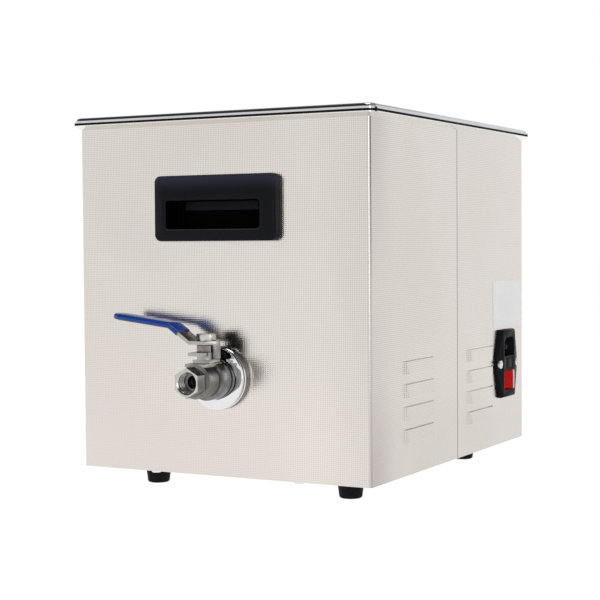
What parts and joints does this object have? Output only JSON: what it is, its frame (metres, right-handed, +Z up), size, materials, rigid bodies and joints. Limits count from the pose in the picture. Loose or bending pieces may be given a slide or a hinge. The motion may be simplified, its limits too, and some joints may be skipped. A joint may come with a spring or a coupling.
{
  "type": "ultrasonic cleaner",
  "caption": "Bench-top ultrasonic cleaner: open polished tank in an embossed steel housing with recessed handles, a blue-levered drain valve, rear louvres and a switched mains inlet.",
  "frame": {"origin": "centre of the housing's footprint, on the surface the feet stand on", "axes": "+Z up, +X towards the drain valve's side, +Y towards the back with the mains inlet, -Y towards the control panel"},
  "size_m": [0.381, 0.268, 0.2958],
  "materials": {
    "embossed_steel": "satin",
    "plain_steel": "satin",
    "polished_steel": "polished",
    "cast_steel": "satin",
    "mirror_steel": "polished",
    "black_rubber": "matte",
    "black_plastic": "matte",
    "blue_vinyl": "gloss",
    "red_plastic": "gloss",
    "white_plastic": "matte",
    "clear_hose": "satin",
    "blank_paper": "matte",
    "brass": "satin",
    "aluminium": "satin",
    "piezo_ceramic": "matte",
    "panel_plastic": "satin",
    "button_plastic": "satin",
    "display_plastic": "gloss",
    "board": "satin",
    "heater_silicone": "matte",
    "fuse_glass": "gloss",
    "copper_winding": "satin"
  },
  "bodies": {
    "cleaner": {"housing_wrap": "embossed_steel", "seam_strip": "plain_steel", "top_frame": "plain_steel", "rim_seal": "black_rubber", "tank": "polished_steel", "base_plate": "plain_steel", "base_screws": "plain_steel", "foot_front_left": "black_rubber", "foot_front_right": "black_rubber", "foot_back_left": "black_rubber", "foot_back_right": "black_rubber", "foot_screws": "plain_steel", "handle_left": "black_plastic", "handle_right": "black_plastic", "handle_screws": "plain_steel", "drain_spigot": "plain_steel", "drain_hose": "clear_hose", "hose_clamps": "plain_steel", "drain_nipple": "plain_steel", "drain_locknut": "brass", "drain_escutcheon": "mirror_steel", "valve_end": "cast_steel", "valve_body": "cast_steel", "valve_seats": "white_plastic", "stem_packing": "white_plastic", "gland_nut": "cast_steel", "inlet_housing": "black_plastic", "inlet_pins": "brass", "inlet_screws": "polished_steel", "rating_label": "blank_paper", "control_panel": "panel_plastic", "display_windows": "display_plastic", "tact_switches": "black_plastic", "control_board": "board", "control_standoffs": "brass", "transducer_horns": "aluminium", "piezo_rings": "piezo_ceramic", "transducer_tails": "plain_steel", "transducer_bolts": "plain_steel", "heater_pads": "heater_silicone", "thermostat": "white_plastic", "generator_board": "board", "board_standoffs": "brass", "heat_sink": "aluminium", "transformer": "copper_winding", "mains_leads": "black_rubber"},
    "drain_lever": {"valve_lever": "cast_steel", "lever_sleeve": "blue_vinyl", "lever_nut": "cast_steel", "valve_stem": "cast_steel", "valve_ball": "polished_steel"},
    "power_rocker": {"rocker": "red_plastic"},
    "fuse_tray": {"fuse_drawer": "black_plastic", "fuse": "fuse_glass"},
    "press_button_1": {"button_1": "button_plastic"},
    "press_button_2": {"button_2": "button_plastic"},
    "press_button_3": {"button_3": "button_plastic"},
    "press_button_4": {"button_4": "button_plastic"},
    "press_button_5": {"button_5": "button_plastic"},
    "press_button_6": {"button_6": "button_plastic"}
  },
  "joints": [
    {"name": "lever_turn", "type": "hinge", "parent": "cleaner", "child": "drain_lever", "pos_m": [0.1815, 0.001, 0.0928], "axis": [0, 0, 1], "range_deg": [0, 90]},
    {"name": "rocker_tilt", "type": "hinge", "parent": "cleaner", "child": "power_rocker", "pos_m": [-0.115, 0.128, 0.0727], "axis": [0, 0, 1], "range_deg": [0, 16]},
    {"name": "fuse_slide", "type": "slide", "parent": "cleaner", "child": "fuse_tray", "axis": [0, 1, 0], "range_m": [0, 0.02]},
    {"name": "button_1_press", "type": "slide", "parent": "cleaner", "child": "press_button_1", "axis": [0, 1, 0], "range_m": [0, 0.001], "stiffness_N_per_m": 800},
    {"name": "button_2_press", "type": "slide", "parent": "cleaner", "child": "press_button_2", "axis": [0, 1, 0], "range_m": [0, 0.001], "stiffness_N_per_m": 800},
    {"name": "button_3_press", "type": "slide", "parent": "cleaner", "child": "press_button_3", "axis": [0, 1, 0], "range_m": [0, 0.001], "stiffness_N_per_m": 800},
    {"name": "button_4_press", "type": "slide", "parent": "cleaner", "child": "press_button_4", "axis": [0, 1, 0], "range_m": [0, 0.001], "stiffness_N_per_m": 800},
    {"name": "button_5_press", "type": "slide", "parent": "cleaner", "child": "press_button_5", "axis": [0, 1, 0], "range_m": [0, 0.001], "stiffness_N_per_m": 800},
    {"name": "button_6_press", "type": "slide", "parent": "cleaner", "child": "press_button_6", "axis": [0, 1, 0], "range_m": [0, 0.001], "stiffness_N_per_m": 800}
  ]
}
